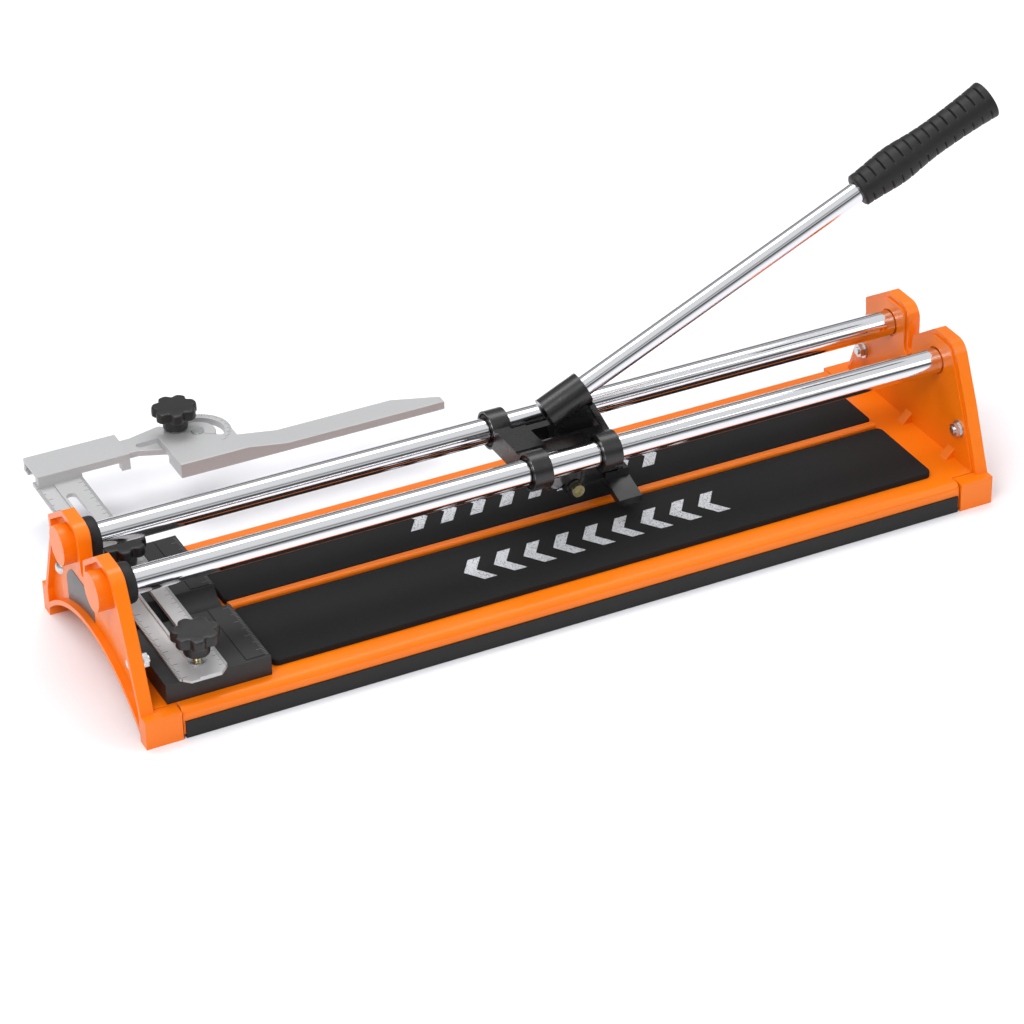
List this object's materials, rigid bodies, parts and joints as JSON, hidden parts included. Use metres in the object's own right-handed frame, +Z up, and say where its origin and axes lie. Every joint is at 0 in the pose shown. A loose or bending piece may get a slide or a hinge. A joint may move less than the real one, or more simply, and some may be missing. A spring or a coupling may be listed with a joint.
{
  "type": "tile cutter",
  "caption": "Manual rail tile cutter: orange pressed bed with foam pads, chrome rails, sliding carriage with a scoring lever, T-square guide and protractor fence.",
  "frame": {"origin": "middle of the bed, on the plane of the feet's undersides", "axes": "+X along the rails from the measuring block to the handle's end, -Y the user's side, +Z up"},
  "size_m": [0.7595, 0.336, 0.3032],
  "materials": {
    "orange_paint": "smooth orange enamel",
    "foam": "closed-cell foam, matt",
    "trim_rubber": "matt black rubber",
    "zinc_steel": "bright zinc plate",
    "rail_chrome": "polished chrome plate",
    "block_plastic": "black plastic with fine grain",
    "knob_plastic": "black plastic, satin",
    "brass_plate": "yellow passivated steel",
    "silver_casting": "silver-painted casting",
    "black_casting": "black paint over a casting",
    "bush_bronze": "sintered bronze",
    "foot_plastic": "black moulded plastic",
    "wheel_steel": "ground hard metal",
    "grip_rubber": "matt black rubber"
  },
  "bodies": {
    "base": {"base_tray": "orange_paint", "break_ridge": "orange_paint", "front_pad": "foam", "rear_pad": "foam", "front_edge_strip": "trim_rubber", "rear_edge_strip": "trim_rubber", "left_end_frame": "orange_paint", "right_end_frame": "orange_paint", "end_bolts": "zinc_steel", "end_washers": "zinc_steel", "end_nuts": "zinc_steel", "front_rail": "rail_chrome", "rear_rail": "rail_chrome", "rail_bumpers": "trim_rubber", "stop_block": "block_plastic", "stop_screws": "zinc_steel", "front_stud": "brass_plate", "rear_stud": "brass_plate", "guide_washers": "zinc_steel"},
    "carriage": {"carriage_body": "black_casting", "rail_bushes": "bush_bronze", "pivot_bolt": "brass_plate", "pivot_nut": "zinc_steel"},
    "lever": {"lever_casting": "black_casting", "breaker_foot": "foot_plastic", "foot_screws": "zinc_steel", "wheel_axle": "zinc_steel", "axle_clip": "zinc_steel", "handle_tube": "rail_chrome", "handle_grip": "grip_rubber"},
    "wheel": {"cutting_wheel": "wheel_steel"},
    "guide": {"guide_square": "silver_casting"},
    "arm": {"fence_arm": "silver_casting", "fence_pivot_pin": "zinc_steel", "fence_stud": "brass_plate", "fence_washer": "zinc_steel"},
    "fence": {"angle_fence": "silver_casting"},
    "front_clamp": {"front_knob": "knob_plastic"},
    "rear_clamp": {"rear_knob": "knob_plastic"},
    "fence_clamp": {"fence_knob": "knob_plastic"}
  },
  "joints": [
    {"name": "carriage_slide", "type": "slide", "parent": "base", "child": "carriage", "axis": [1, 0, 0], "range_m": [-0.29, 0.245]},
    {"name": "lever_tilt", "type": "hinge", "parent": "carriage", "child": "lever", "pos_m": [0.036, 0, 0.055], "axis": [0, -1, 0], "range_deg": [-12, 14]},
    {"name": "wheel_spin", "type": "hinge", "parent": "lever", "child": "wheel", "pos_m": [0.023, 0, 0.062], "axis": [0, 1, 0], "continuous": true},
    {"name": "guide_slide", "type": "slide", "parent": "base", "child": "guide", "axis": [0, 1, 0], "range_m": [-0.1, 0]},
    {"name": "arm_slide", "type": "slide", "parent": "guide", "child": "arm", "axis": [1, 0, 0], "range_m": [-0.006, 0.035]},
    {"name": "fence_swing", "type": "hinge", "parent": "arm", "child": "fence", "pos_m": [-0.1835, 0.2007, 0.05], "axis": [0, 0, 1], "range_deg": [0, 90]},
    {"name": "front_knob_turn", "type": "hinge", "parent": "base", "child": "front_clamp", "pos_m": [-0.298, -0.077, 0.06], "axis": [0, 0, 1], "continuous": true},
    {"name": "rear_knob_turn", "type": "hinge", "parent": "base", "child": "rear_clamp", "pos_m": [-0.298, 0.065, 0.055], "axis": [0, 0, 1], "continuous": true},
    {"name": "fence_knob_turn", "type": "hinge", "parent": "arm", "child": "fence_clamp", "pos_m": [-0.197, 0.212, 0.065], "axis": [0, 0, 1], "continuous": true}
  ]
}
